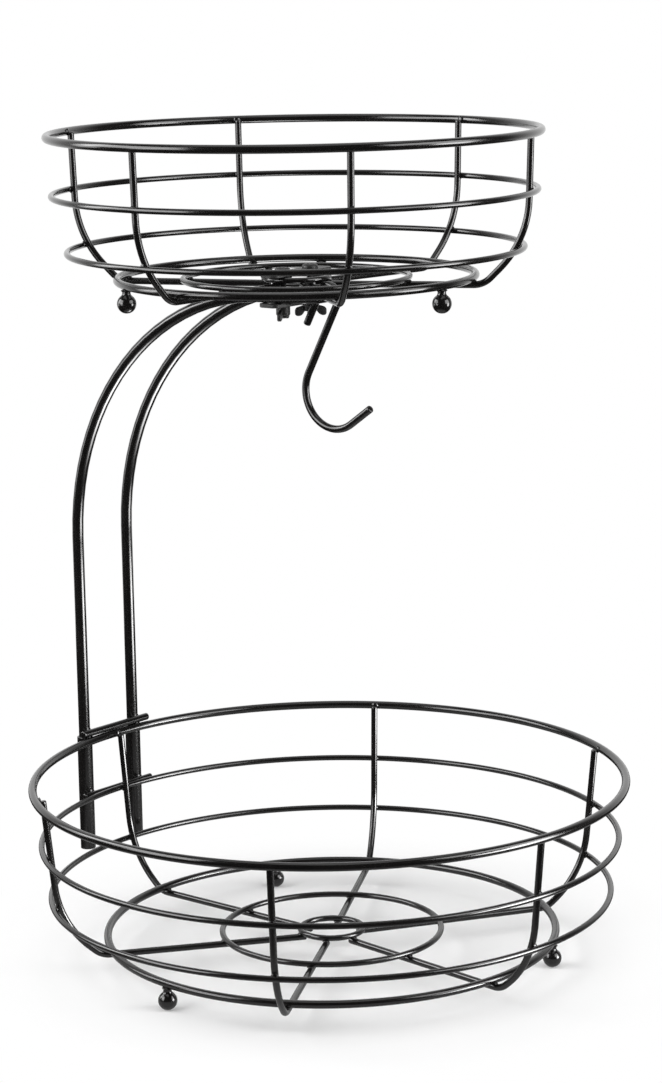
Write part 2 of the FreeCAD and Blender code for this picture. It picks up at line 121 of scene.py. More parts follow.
class Shade:
    """One output of a shader node. Sums and products of shades add Math nodes."""

    def __init__(self, tree, socket=None):
        self.tree = tree
        self.socket = socket

    def node(self, kind, settings=None, sockets=None, output=0):
        """Add a node: its settings first, then the values or links of its sockets."""
        made = self.tree.nodes.new(kind)
        for name, setting in (settings or {}).items():
            setattr(made, name, setting)
        for name, entry in (sockets or {}).items():
            if isinstance(entry, Shade):
                self.tree.links.new(entry.socket, made.inputs[name])
            else:
                made.inputs[name].default_value = entry
        return Shade(self.tree, made.outputs[output] if made.outputs else None)

    def math(self, operation, first, second):
        return self.node("ShaderNodeMath", {"operation": operation}, {0: first, 1: second})

    def __add__(self, other):
        return self.math("ADD", self, other)

    def __mul__(self, other):
        return self.math("MULTIPLY", self, other)

    def __sub__(self, other):
        return self.math("SUBTRACT", self, other)

    def __rsub__(self, other):
        return self.math("SUBTRACT", other, self)

    __radd__ = __add__
    __rmul__ = __mul__


def new_finish(name):
    """A bare material, and a shade in its node tree to start from."""
    material = bpy.data.materials.new(name)
    material.use_nodes = True
    material.node_tree.nodes.clear()
    return material, Shade(material.node_tree)


def ray_is(start, kind):
    """1 where a ray of this kind looks at the surface, and 0 elsewhere."""
    return start.node("ShaderNodeLightPath", output=f"Is {kind} Ray")


def ease(value, start, end, before, after):
    """Go smoothly from before to after while a shade goes from start to end."""
    sockets = {"Value": value, "From Min": start, "From Max": end, "To Min": before, "To Max": after}
    return value.node("ShaderNodeMapRange", {"interpolation_type": "SMOOTHSTEP"}, sockets)


def new_object(name, bm, material):
    """Close a mesh as an object at the origin, shaded smooth except across creases."""
    mesh = bpy.data.meshes.new(name)
    bm.to_mesh(mesh)
    bm.free()
    mesh.shade_smooth()
    mesh.set_sharp_from_angle(angle=CREASE)
    mesh.materials.append(material)
    made = bpy.data.objects.new(name, mesh)
    scene.collection.objects.link(made)
    return made


surround = bpy.data.worlds.new("surround")
scene.world = surround
surround.use_nodes = True
surround.node_tree.nodes.clear()
sky = Shade(surround.node_tree)
looking = sky.node("ShaderNodeTexCoord", output="Generated")
to_sweep = way_to(math.radians(SWEEP_AZIMUTH))
dot_product = {"operation": "DOT_PRODUCT"}
along_sweep = sky.node("ShaderNodeVectorMath", dot_product, {0: looking, 1: to_sweep}, "Value")
sweep_white = ease(along_sweep, SWEEP_EDGE_START, SWEEP_EDGE_END, DARK_ROOM, 1)
seen_white = ray_is(sky, "Camera") + ray_is(sky, "Transmission")
mirrored = ray_is(sky, "Glossy")
sky_strength = seen_white + mirrored * sweep_white + (1 - seen_white - mirrored) * SURROUND_LIGHT
sky_light = sky.node("ShaderNodeBackground", sockets={"Color": WHITE, "Strength": sky_strength})
sky.node("ShaderNodeOutputWorld", sockets={"Surface": sky_light})

floor_paint, start = new_finish("floor_paint")
place = start.node("ShaderNodeTexCoord", output="Object")
from_axis = start.node("ShaderNodeVectorMath", {"operation": "LENGTH"}, {0: place}, "Value")
fade = ease(from_axis, FLOOR_FADE_START, FLOOR_FADE_END, FLOOR_NEAR_GLOW, 1)
card_colour = ease(from_axis, CARD_EDGE_START, CARD_EDGE_END, CARD_BRIGHTNESS, DARK_ROOM)
lit = start.node("ShaderNodeBsdfDiffuse", sockets={"Color": FLOOR_WHITE})
glow = start.node("ShaderNodeEmission", sockets={"Color": WHITE, "Strength": 1})
card = start.node("ShaderNodeEmission", sockets={"Color": card_colour, "Strength": 1})
seen = ray_is(start, "Camera") + ray_is(start, "Transmission")
sweep = start.node("ShaderNodeMixShader", sockets={0: fade * seen, 1: lit, 2: glow})
surface = start.node("ShaderNodeMixShader", sockets={0: ray_is(start, "Glossy"), 1: sweep, 2: card})
start.node("ShaderNodeOutputMaterial", sockets={"Surface": surface})
bm = bmesh.new()
bmesh.ops.create_circle(bm, cap_ends=True, segments=FLOOR_SIDES, radius=FLOOR_RADIUS)
new_object("floor", bm, floor_paint)


def softbox(name, place, aim, width, length, power):
    """A rectangular lamp that faces its aim. The gloss mirrors it, but the camera doesn't see it."""
    lamp = bpy.data.lights.new(name, "AREA")
    lamp.shape = "RECTANGLE"
    lamp.size = width
    lamp.size_y = length
    lamp.energy = power
    box = bpy.data.objects.new(name, lamp)
    box.location = place
    box.rotation_mode = "QUATERNION"
    box.rotation_quaternion = (place - aim).to_track_quat("Z", "Y")
    box.visible_camera = False
    scene.collection.objects.link(box)
    return box


for name, (azimuth, distance, height, width, length, power) in SOFTBOXES.items():
    aim = UP * height
    softbox(name, aim + way_to(math.radians(azimuth)) * distance, aim, width, length, power)
softbox("overhead_softbox", UP * OVERHEAD_HEIGHT, ORIGIN, OVERHEAD_SIZE, OVERHEAD_SIZE, OVERHEAD_POWER)
for name, (place, aim, width, length, grid_angle, power) in GRIDDED_STRIPS.items():
    strip = softbox(name, Vector(place), Vector(aim), width, length, power)
    strip.data.spread = math.radians(grid_angle)
    strip.visible_diffuse = False

# Rims, hoops and rings of both baskets
# Each is drawn steel wire rolled to a circle and butt-welded into a ring.
# All wires are coated after welding in gloss black, which lies a little uneven, like the skin of an orange.
BLACK = (0.0028, 0.0027, 0.0028, 1)
WARM_BLACK = (0.0072, 0.0062, 0.0058, 1)
COAT_DRIFT_SCALE = 38.0
COAT_DRIFT_DETAIL = 3.0
PEEL_SCALE = 620.0
PEEL_DETAIL = 2.0
PEEL_HEIGHT = 0.00003
PEEL_STRENGTH = 0.35
GLOSS_ROUGHNESS = 0.10
GLOSS_ROUGHNESS_DRIFT = 0.12
GLOSS_SPECULAR = 0.75
WIRE_SIDES = 24
RING_STEPS = 180
QUARTER_TURN = math.radians(90)
TIER_BODIES = {"lower": "lower_basket", "upper": "stand"}
RING_NAMES = ("rim", "high_hoop", "low_hoop", "base_ring", "floor_ring", "centre_ring")
Ring = namedtuple("Ring", "centre radius wire")


def noise(place, scale, detail):
    return place.node("ShaderNodeTexNoise", sockets={"Vector": place, "Scale": scale, "Detail": detail})


def mix_colours(share, first, second):
    """A colour between two others. A Mix node's colours are its inputs 6 and 7 and its output 2."""
    return share.node("ShaderNodeMix", {"data_type": "RGBA"}, {0: share, 6: first, 7: second}, 2)


def gloss_black():
    """Gloss black coating: warm and cool blacks that drift, fine orange peel, and patches a little duller."""
    material, start = new_finish("gloss_black")
    place = start.node("ShaderNodeTexCoord", output="Object")
    drift = noise(place, COAT_DRIFT_SCALE, COAT_DRIFT_DETAIL)
    peel = noise(place, PEEL_SCALE, PEEL_DETAIL)
    bump_sockets = {"Strength": PEEL_STRENGTH, "Distance": PEEL_HEIGHT, "Height": peel}
    surface = start.node("ShaderNodeBsdfPrincipled", sockets={
        "Base Color": mix_colours(drift, BLACK, WARM_BLACK),
        "Roughness": GLOSS_ROUGHNESS + GLOSS_ROUGHNESS_DRIFT * drift,
        "Specular IOR Level": GLOSS_SPECULAR,
        "Normal": start.node("ShaderNodeBump", sockets=bump_sockets),
    })
    start.node("ShaderNodeOutputMaterial", sockets={"Surface": surface})
    return material


def read_ring(node):
    """A ring's centre, the radius of its wire's centre line, and its wire, from the imported basket."""
    low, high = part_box(node)
    wire = high.z - low.z
    return Ring((low + high) / 2, (high.x - low.x - wire) / 2, wire)


def dress(piece, body, slot, *nodes):
    """Let a piece ride on a body and put it in the place of the nodes it stands for; the slot is not used."""
    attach(piece, body)
    if nodes:
        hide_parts(*nodes)


wire_black = gloss_black()
rings = {}
for tier, body in TIER_BODIES.items():
    for ring_name in RING_NAMES:
        node = f"{tier}_{ring_name}"
        ring = rings[node] = read_ring(node)
        bm = bmesh.new()
        on_edge = Matrix.Translation((ring.radius, 0, 0)) @ Matrix.Rotation(QUARTER_TURN, 4, "X")
        bmesh.ops.create_circle(bm, segments=WIRE_SIDES, radius=ring.wire / 2, matrix=on_edge)
        bmesh.ops.spin(bm, geom=bm.verts[:] + bm.edges[:], cent=ORIGIN, axis=UP, angle=math.tau,
                       steps=RING_STEPS, use_merge=True)
        bmesh.ops.translate(bm, verts=bm.verts, vec=ring.centre)
        bmesh.ops.recalc_face_normals(bm, faces=bm.faces)
        dress(new_object(f"{node}_wire", bm, wire_black), body, "wire_paint", node)

# Ribs of both baskets
# Straight wire bent twice: it drops inside the rim and hoops, curves in at the knee, and runs flat
# under the base, floor and centre rings. Each crossing is spot-welded.
RIB_WIRE = 0.0034
KNEE_BEND = 0.050
TOE_BEND = 0.012
RIB_OVERHANG = 0.0025
WIRE_END_ROUND = 0.0006
WIRE_END_STEPS = 3
BEND_STEP = math.radians(4)
SUPPORT_LOOP = 0.0012
SLOPE_ANGLES = {"lower": math.radians(50), "upper": math.radians(45)}
RIB_ANGLES = {"lower": (30, 90, 143, 209, 263.3, 328.3), "upper": (55, 113, 181, 233.2, 298, 354)}
Run = namedtuple("Run", "length")
Bend = namedtuple("Bend", "radius angle axis")
RibShape = namedtuple("RibShape", "at_rim lean wall_run knee_turn slope_run toe_turn floor_run")


def only(kind, parts):
    """The vertices, or the edges, among the parts of a mesh that an operator gives back."""
    return [part for part in parts if isinstance(part, kind)]


def bevel(bm, parts, offset, segments, affect="EDGES"):
    bmesh.ops.bevel(bm, geom=parts, offset=offset, affect=affect, segments=segments, profile=0.5, material=-1)


def grow_wire(bm, loop, place, heading, steps):
    """Carry a loop of edges along straight runs and round bends; give back the loop at the far end.

    A run has a support loop near each end, which keeps its shading straight beside a bend or a cut end.
    """
    for step in steps:
        if isinstance(step, Run):
            end = min(SUPPORT_LOOP, step.length / 3)
            for length in (end, step.length - 2 * end, end):
                move = heading * length
                grown = bmesh.ops.extrude_edge_only(bm, edges=loop)["geom"]
                bmesh.ops.translate(bm, verts=only(BMVert, grown), vec=move)
                place = place + move
                loop = only(BMEdge, grown)
        else:
            centre = place + step.axis.cross(heading) * step.radius
            corners = list(dict.fromkeys(corner for edge in loop for corner in edge.verts))
            grown = bmesh.ops.spin(bm, geom=loop + corners, cent=centre, axis=step.axis, angle=step.angle,
                                   steps=round(step.angle / BEND_STEP))["geom_last"]
            turn = Matrix.Rotation(step.angle, 3, step.axis)
            place = centre + turn @ (place - centre)
            heading = turn @ heading
            loop = only(BMEdge, grown)
    return loop


def bent_wire(wire, start, heading, steps):
    """A round wire bent to runs and bends, with its two cut ends closed and rounded."""
    bm = bmesh.new()
    facing = Matrix.Translation(start) @ heading.to_track_quat("Z", "Y").to_matrix().to_4x4()
    bmesh.ops.create_circle(bm, segments=WIRE_SIDES, radius=wire / 2, matrix=facing)
    first = bm.edges[:]
    last = grow_wire(bm, first, start, heading, steps)
    for loop in (first, last):
        bmesh.ops.edgeloop_fill(bm, edges=loop)
    bevel(bm, first + last, WIRE_END_ROUND, WIRE_END_STEPS)
    bmesh.ops.recalc_face_normals(bm, faces=bm.faces)
    return bm


def rib_shape(tier):
    """Where a rib starts, how far its wall leans, and its runs and turns, from the rings it touches."""
    touched = ("rim", "high_hoop", "base_ring", "centre_ring")
    rim, hoop, base, centre = (rings[f"{tier}_{name}"] for name in touched)
    slope = SLOPE_ANGLES[tier]
    at_rim = rim.radius - (rim.wire + RIB_WIRE) / 2
    at_hoop = hoop.radius - (hoop.wire + RIB_WIRE) / 2
    floor_height = base.centre.z - (base.wire + RIB_WIRE) / 2
    lean = math.atan2(at_rim - at_hoop, rim.centre.z - hoop.centre.z)
    toe_turn = QUARTER_TURN - slope
    toe_tangent = TOE_BEND * math.tan(toe_turn / 2)
    wall_foot = at_rim - math.tan(lean) * (rim.centre.z - floor_height)
    knee_rise = (wall_foot - base.radius - toe_tangent) / (math.tan(slope) - math.tan(lean))
    knee_turn = slope - lean
    knee_tangent = KNEE_BEND * math.tan(knee_turn / 2)
    wall_run = (rim.centre.z - floor_height - knee_rise) / math.cos(lean) - knee_tangent
    slope_run = knee_rise / math.cos(slope) - knee_tangent - toe_tangent
    floor_run = base.radius - centre.radius + RIB_OVERHANG
    return RibShape(at_rim, lean, wall_run, knee_turn, slope_run, toe_turn, floor_run)


def outward(angle):
    """The level direction from the middle of a basket at an angle in degrees, 0 along X."""
    turn = math.radians(angle)
    return Vector((math.cos(turn), math.sin(turn), 0))


for tier, body in TIER_BODIES.items():
    rim = rings[f"{tier}_rim"]
    rib = rib_shape(tier)
    for number, angle in enumerate(RIB_ANGLES[tier], start=1):
        out = outward(angle)
        side = UP.cross(out)
        steps = [Run(rib.wall_run), Bend(KNEE_BEND, rib.knee_turn, side), Run(rib.slope_run),
                 Bend(TOE_BEND, rib.toe_turn, side), Run(rib.floor_run)]
        heading = -out * math.sin(rib.lean) - UP * math.cos(rib.lean)
        bm = bent_wire(RIB_WIRE, rim.centre + out * rib.at_rim, heading, steps)
        node = f"{tier}_rib_{number}"
        dress(new_object(f"{node}_wire", bm, wire_black), body, "wire_paint", node)

# Ball feet
# Solid steel balls with a short neck, welded under the base ring; each has a small flat where it stands.
# The upper basket has the same three, which hang free.
NECK_RADIUS = 0.0021
BALL_FLAT_DEPTH = 0.0002
NECK_FILLET = 0.0008
NECK_FILLET_STEPS = 3
BALL_STEPS = 16
TURNED_STEPS = 40
FOOT_COUNT = 3
MERGE_DISTANCE = 0.000002
Y_WAY = Vector((0, 1, 0))


def axis_point(node, height):
    """The point at a height on the upright axis of a turned piece."""
    low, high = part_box(node)
    return Vector(((low.x + high.x) / 2, (low.y + high.y) / 2, height))


def at_height(parts, height):
    """The edges or faces whose corners all lie at one height."""
    return [part for part in parts if all(abs(v.co.z - height) < MERGE_DISTANCE for v in part.verts)]


def turn_profile(bm, centre):
    """Spin the edges of a profile, drawn on +X, once round the vertical through a centre."""
    bmesh.ops.translate(bm, verts=bm.verts, vec=centre)
    bmesh.ops.spin(bm, geom=bm.verts[:] + bm.edges[:], cent=centre, axis=UP, angle=math.tau,
                   steps=TURNED_STEPS, use_merge=True)
    bmesh.ops.remove_doubles(bm, verts=bm.verts, dist=MERGE_DISTANCE)
    bmesh.ops.recalc_face_normals(bm, faces=bm.faces)


for tier, body in TIER_BODIES.items():
    for number in range(1, FOOT_COUNT + 1):
        node = f"{tier}_foot_{number}"
        low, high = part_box(node)
        ball_radius = (high.x - low.x + high.y - low.y) / 4
        foot_height = high.z - low.z
        ball_height = ball_radius - BALL_FLAT_DEPTH
        flat_angle = math.acos(ball_height / ball_radius)
        neck_angle = math.pi - math.asin(NECK_RADIUS / ball_radius)
        bm = bmesh.new()
        pole = bm.verts.new(ORIGIN)
        flat_edge = bm.verts.new((ball_radius * math.sin(flat_angle), 0, 0))
        bm.edges.new((pole, flat_edge))
        arc = bmesh.ops.spin(bm, geom=[flat_edge], cent=UP * ball_height, axis=-Y_WAY,
                             angle=neck_angle - flat_angle, steps=BALL_STEPS)["geom_last"]
        shoulder = arc[0].co.z
        neck_top = bmesh.ops.extrude_vert_indiv(bm, verts=arc)["verts"]
        bmesh.ops.translate(bm, verts=neck_top, vec=UP * (foot_height - shoulder))
        top_middle = bmesh.ops.extrude_vert_indiv(bm, verts=neck_top)["verts"]
        bmesh.ops.translate(bm, verts=top_middle, vec=(-NECK_RADIUS, 0, 0))
        turn_profile(bm, axis_point(node, low.z))
        bevel(bm, at_height(bm.edges, low.z + shoulder), NECK_FILLET, NECK_FILLET_STEPS)
        dress(new_object(f"{node}_ball", bm, wire_black), body, "wire_paint", node)

# Socket tubes and their brace
# Two short lengths of steel tube stand outside the lower rim and take the stand's arms.
# A straight wire welded across them ties them to the upper hoop.
SOCKET_WALL = 0.0009
SOCKET_EDGE = 0.00025
SOCKET_EDGE_STEPS = 2
BRACE_WIRE = 0.0030
SOCKETS = ("socket_left", "socket_right")
UNIT_SQUARE_HALF = 0.5
X_WAY = Vector((1, 0, 0))


def sharp_edges(bm):
    return [edge for edge in bm.edges if edge.is_manifold and edge.calc_face_angle() > CREASE]


def upright_wall(bm, inner, outer, height):
    """The outline of a tube's wall, a rectangle on +X about height 0, as four edges."""
    bmesh.ops.create_grid(bm, x_segments=1, y_segments=1, size=UNIT_SQUARE_HALF)
    bmesh.ops.delete(bm, geom=bm.faces[:], context="FACES_ONLY")
    bmesh.ops.rotate(bm, verts=bm.verts, matrix=Matrix.Rotation(QUARTER_TURN, 3, "X"))
    bmesh.ops.scale(bm, verts=bm.verts, vec=(outer - inner, 1, height))
    bmesh.ops.translate(bm, verts=bm.verts, vec=((outer + inner) / 2, 0, 0))


def cross_wire(node, wire):
    """A straight cut wire that runs along X, placed and sized from its node."""
    low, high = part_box(node)
    middle = (low + high) / 2
    start = Vector((low.x, middle.y, middle.z))
    return bent_wire(wire, start, X_WAY, [Run(high.x - low.x)])


for node in SOCKETS:
    low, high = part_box(node)
    outer = (high.x - low.x) / 2
    bm = bmesh.new()
    upright_wall(bm, outer - SOCKET_WALL, outer, high.z - low.z)
    turn_profile(bm, (low + high) / 2)
    bevel(bm, sharp_edges(bm), SOCKET_EDGE, SOCKET_EDGE_STEPS)
    for height in (low.z + SUPPORT_LOOP, high.z - SUPPORT_LOOP):
        bmesh.ops.bisect_plane(bm, geom=bm.verts[:] + bm.edges[:] + bm.faces[:], dist=MERGE_DISTANCE,
                               plane_co=UP * height, plane_no=UP)
    dress(new_object(f"{node}_tube", bm, wire_black), "lower_basket", "wire_paint", node)
bm = cross_wire("socket_brace", BRACE_WIRE)
dress(new_object("socket_brace_wire", bm, wire_black), "lower_basket", "wire_paint", "socket_brace")

# Stand
# One steel rod bent to a hairpin: two arms drop into the sockets and arch forward under the upper basket,
# where they join in a front cross run. The stop bar welded across them lies on the lower rim.
ARM_WIRE = 0.0060
BAR_WIRE = 0.0038
ARM_LEAD = 0.01585
FRONT_BEND = 0.0090

low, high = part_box("stand_hoop")
arm_half = (high.x - low.x - ARM_WIRE) / 2
arm_back = high.y - ARM_WIRE / 2
front_run = low.y + ARM_WIRE / 2
arm_top = high.z - ARM_WIRE / 2
arm_bend = arm_back - front_run - FRONT_BEND - ARM_LEAD
arm_run = Run(arm_top - arm_bend - low.z)
front_corner = Bend(FRONT_BEND, QUARTER_TURN, UP)
steps = [
    arm_run, Bend(arm_bend, QUARTER_TURN, X_WAY), Run(ARM_LEAD),
    front_corner, Run(2 * (arm_half - FRONT_BEND)), front_corner,
    Run(ARM_LEAD), Bend(arm_bend, QUARTER_TURN, -X_WAY), arm_run,
]
bm = bent_wire(ARM_WIRE, Vector((-arm_half, arm_back, low.z)), UP, steps)
dress(new_object("stand_hoop_rod", bm, wire_black), "stand", "wire_paint", "stand_hoop")
bm = cross_wire("stop_bar", BAR_WIRE)
dress(new_object("stop_bar_wire", bm, wire_black), "stand", "wire_paint", "stop_bar")

# Welds
# Where two wires cross they are spot-welded: the steel melts and spreads to a small flat bead between them.
# The feet, tubes, stop bar and plate are welded on in the same way, and all beads are coated with the wires.
WELD_SIZE = (0.0019, 0.0019, 0.0008)
FOOT_WELD_SIZE = (0.0028, 0.0028, 0.0008)
TUBE_WELD_SIZE = (0.0022, 0.0026, 0.0006)
PLATE_WELD_SIZE = (0.0017, 0.0046, 0.0009)
WELD_SIDES = 12
WELD_BANDS = 6


def weld(bm, place, facing, size=WELD_SIZE):
    """A flat bead between two wires, lying across the way it faces."""
    turn = facing.to_track_quat("Z", "Y").to_matrix().to_4x4()
    bmesh.ops.create_uvsphere(bm, u_segments=WELD_SIDES, v_segments=WELD_BANDS, radius=1,
                              matrix=Matrix.Translation(place) @ turn @ Matrix.Diagonal((*size, 1)))


tier_welds = {}
for tier in TIER_BODIES:
    bm = tier_welds[tier] = bmesh.new()
    rim = rings[f"{tier}_rim"]
    low_hoop = rings[f"{tier}_low_hoop"]
    rib = rib_shape(tier)
    knee_in = rib.at_rim - rib.wall_run * math.sin(rib.lean) - KNEE_BEND * math.cos(rib.lean)
    knee_height = rim.centre.z - rib.wall_run * math.cos(rib.lean) + KNEE_BEND * math.sin(rib.lean)
    for angle in RIB_ANGLES[tier]:
        out = outward(angle)
        from_knee = (out * (low_hoop.radius - knee_in) + UP * (low_hoop.centre.z - knee_height)).normalized()
        facings = {"rim": out, "high_hoop": out, "low_hoop": from_knee}
        for ring_name in RING_NAMES:
            ring = rings[f"{tier}_{ring_name}"]
            facing = facings.get(ring_name, UP)
            weld(bm, ring.centre + out * ring.radius - facing * (ring.wire / 2), facing)
    for number in range(1, FOOT_COUNT + 1):
        node = f"{tier}_foot_{number}"
        low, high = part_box(node)
        weld(bm, axis_point(node, high.z), UP, FOOT_WELD_SIZE)

rim = rings["lower_rim"]
brace_low, brace_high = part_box("socket_brace")
brace_height = (brace_low.z + brace_high.z) / 2
weld(tier_welds["lower"], Vector((0, brace_low.y, brace_height)), Y_WAY)
bar_low, bar_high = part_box("stop_bar")
plate_low, plate_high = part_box("stand_plate")
stand_welds = bmesh.new()
for across in (-arm_half, arm_half):
    to_tube = Vector((across, arm_back, 0)).normalized()
    weld(tier_welds["lower"], rim.centre + to_tube * (rim.radius + rim.wire / 2), to_tube, TUBE_WELD_SIZE)
    weld(tier_welds["lower"], Vector((across, brace_high.y, brace_height)), Y_WAY, TUBE_WELD_SIZE)
    weld(stand_welds, Vector((across, bar_high.y, (bar_low.z + bar_high.z) / 2)), Y_WAY, TUBE_WELD_SIZE)
    weld(stand_welds, Vector((across, (plate_low.y + plate_high.y) / 2, plate_high.z)), UP, PLATE_WELD_SIZE)
for tier, body in TIER_BODIES.items():
    dress(new_object(f"{tier}_basket_welds", tier_welds[tier], wire_black), body, "wire_paint")
dress(new_object("stand_welds", stand_welds, wire_black), "stand", "wire_paint")

# Plate and clamp strap
# Two strips of flat steel with rounded corners and two drilled holes, painted satin black. The plate is
# welded under the arms; the strap lies across the upper basket's centre ring and is screwed down to it.
SATIN_BLACK = (0.012, 0.012, 0.0125, 1)
SATIN_GREY = (0.024, 0.023, 0.022, 1)
SATIN_DRIFT_SCALE = 120.0
SATIN_DRIFT_DETAIL = 4.0
SATIN_GRAIN_SCALE = 2400.0
SATIN_GRAIN_DETAIL = 2.0
SATIN_GRAIN_HEIGHT = 0.00002
SATIN_GRAIN_STRENGTH = 0.5
SATIN_ROUGHNESS = 0.34
SATIN_ROUGHNESS_DRIFT = 0.2
STRIP_CORNERS = {"stand_plate": 0.003, "clamp_strap": 0.004}
STRIP_CORNER_STEPS = 6
STRIP_EDGE = 0.0003
STRIP_EDGE_STEPS = 1
HOLE_RADIUS = 0.0022
HOLE_SIDES = 24
SCREWS = {"left": "clamp_screw_left", "right": "clamp_screw_right"}


def satin_black():
    """Satin black paint: a fine grain, and greyer patches that are a little duller."""
    material, start = new_finish("satin_black")
    place = start.node("ShaderNodeTexCoord", output="Object")
    drift = noise(place, SATIN_DRIFT_SCALE, SATIN_DRIFT_DETAIL)
    grain = noise(place, SATIN_GRAIN_SCALE, SATIN_GRAIN_DETAIL)
    bump_sockets = {"Strength": SATIN_GRAIN_STRENGTH, "Distance": SATIN_GRAIN_HEIGHT, "Height": grain}
    surface = start.node("ShaderNodeBsdfPrincipled", sockets={
        "Base Color": mix_colours(drift, SATIN_BLACK, SATIN_GREY),
        "Roughness": SATIN_ROUGHNESS + SATIN_ROUGHNESS_DRIFT * drift,
        "Normal": start.node("ShaderNodeBump", sockets=bump_sockets),
    })
    start.node("ShaderNodeOutputMaterial", sockets={"Surface": surface})
    return material


fixing_black = satin_black()
for node, corner in STRIP_CORNERS.items():
    low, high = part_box(node)
    middle = (low + high) / 2
    bm = bmesh.new()
    bmesh.ops.create_grid(bm, x_segments=1, y_segments=1, size=UNIT_SQUARE_HALF)
    bmesh.ops.scale(bm, verts=bm.verts, vec=(high.x - low.x, high.y - low.y, 1))
    bevel(bm, bm.verts[:], corner, STRIP_CORNER_STEPS, affect="VERTICES")
    bmesh.ops.delete(bm, geom=bm.faces[:], context="FACES_ONLY")
    bmesh.ops.translate(bm, verts=bm.verts, vec=(middle.x, middle.y, 0))
    for screw in SCREWS.values():
        bmesh.ops.create_circle(bm, segments=HOLE_SIDES, radius=HOLE_RADIUS,
                                matrix=Matrix.Translation(axis_point(screw, 0)))
    bmesh.ops.triangle_fill(bm, use_beauty=True, edges=bm.edges[:])
    bmesh.ops.translate(bm, verts=bm.verts, vec=UP * low.z)
    grown = bmesh.ops.extrude_face_region(bm, geom=bm.faces[:])["geom"]
    bmesh.ops.translate(bm, verts=only(BMVert, grown), vec=UP * (high.z - low.z))
    bmesh.ops.recalc_face_normals(bm, faces=bm.faces)
    bevel(bm, sharp_edges(bm), STRIP_EDGE, STRIP_EDGE_STEPS)
    dress(new_object(f"{node}_strip", bm, fixing_black), "stand", "fixing_paint", node)

# Clamp screws
# Two small steel machine screws with low rounded heads and a cross recess, threaded all the way.
# Their heads lie on the strap in the basket, and their tails stand out below the wing nuts.
SCREW_RADIUS = 0.0020
THREAD_DEPTH = 0.0004
THREAD_PITCH = 0.0007
THREAD_STEPS = 20
THREAD_ROOT_SHARE = 0.25
BARE_TURNS = 1
HEAD_HEIGHT = 0.0022
HEAD_ROUND = 0.0015
HEAD_ROUND_STEPS = 6
RECESS_WIDTH = 0.0011
RECESS_REACH = 0.0021
RECESS_DEPTH = 0.0012
RECESS_TAPER_SHARE = 0.7

for node in SCREWS.values():
    low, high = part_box(node)
    head_radius = (high.x - low.x) / 2
    seat = high.z - HEAD_HEIGHT
    core = SCREW_RADIUS - THREAD_DEPTH
    bm = bmesh.new()
    outline = [(core, low.z), (core, seat), (head_radius, seat), (head_radius, high.z - HEAD_ROUND)]
    corners = [bm.verts.new((across, 0, height)) for across, height in outline]
    for near, far in zip(corners, corners[1:]):
        bm.edges.new((near, far))
    bmesh.ops.spin(bm, geom=[corners[-1]], cent=(head_radius - HEAD_ROUND, 0, high.z - HEAD_ROUND),
                   axis=-Y_WAY, angle=QUARTER_TURN, steps=HEAD_ROUND_STEPS)
    turn_profile(bm, ORIGIN)
    bmesh.ops.holes_fill(bm, edges=bm.edges[:])
    for across_slot in (X_WAY, Y_WAY):
        for reach in (-RECESS_REACH, -RECESS_WIDTH / 2, RECESS_WIDTH / 2, RECESS_REACH):
            crown = at_height(bm.faces, high.z)
            borders = dict.fromkeys(part for face in crown for part in (*face.edges, *face.verts))
            bmesh.ops.bisect_plane(bm, geom=crown + list(borders), dist=MERGE_DISTANCE,
                                   plane_co=across_slot * reach, plane_no=across_slot)
    cross = []
    for face in at_height(bm.faces, high.z):
        middle = face.calc_center_median()
        across, along = sorted((abs(middle.x), abs(middle.y)))
        if across < RECESS_WIDTH / 2 and along < RECESS_REACH:
            cross.append(face)
    cross_edges = dict.fromkeys(edge for face in cross for edge in face.edges)
    sunk = bmesh.ops.extrude_face_region(bm, geom=cross + list(cross_edges))["geom"]
    recess_floor = only(BMVert, sunk)
    bmesh.ops.translate(bm, verts=recess_floor, vec=-UP * RECESS_DEPTH)
    bmesh.ops.scale(bm, verts=recess_floor, vec=(RECESS_TAPER_SHARE, RECESS_TAPER_SHARE, 1))
    root = core - THREAD_DEPTH * THREAD_ROOT_SHARE
    flank = ((root, low.z), (SCREW_RADIUS, low.z + THREAD_PITCH / 2), (root, low.z + THREAD_PITCH))
    ridge = bm.faces.new([bm.verts.new((across, 0, height)) for across, height in flank])
    turns = math.floor((seat - low.z) / THREAD_PITCH) - BARE_TURNS
    bmesh.ops.spin(bm, geom=[ridge, *ridge.edges, *ridge.verts], cent=ORIGIN, axis=UP, angle=turns * math.tau,
                   dvec=UP * (THREAD_PITCH / THREAD_STEPS), steps=turns * THREAD_STEPS)
    bmesh.ops.recalc_face_normals(bm, faces=bm.faces)
    bmesh.ops.translate(bm, verts=bm.verts, vec=axis_point(node, 0))
    dress(new_object(f"{node}_steel", bm, fixing_black), "stand", "fixing_paint", node)

# Wing nuts
# Two cast wing nuts run up the screws under the plate, each with a round hub and two flat ears for finger
# and thumb. They stand at different angles, as they were last tightened.
NUT_HUB_RADIUS = 0.0035
NUT_HUB_HEIGHT = 0.0046
NUT_BORE = 0.00205
NUT_HALF_SPAN = 0.0080
NUT_HUB_EDGE = 0.0005
NUT_HUB_EDGE_STEPS = 3
EAR_THICKNESS = 0.0018
EAR_ROUND = 0.0014
EAR_ROUND_STEPS = 5
EAR_EDGE = 0.0004
EAR_EDGE_STEPS = 3
EAR_OUTLINE_SHARES = ((0.36, 0.20), (1.0, 0.42), (1.0, 1.0), (0.6, 1.0), (0.36, 0.62))
EAR_ROUNDED_CORNERS = slice(1, 4)
NUT_ANGLES = {"left": math.radians(24), "right": math.radians(-38)}


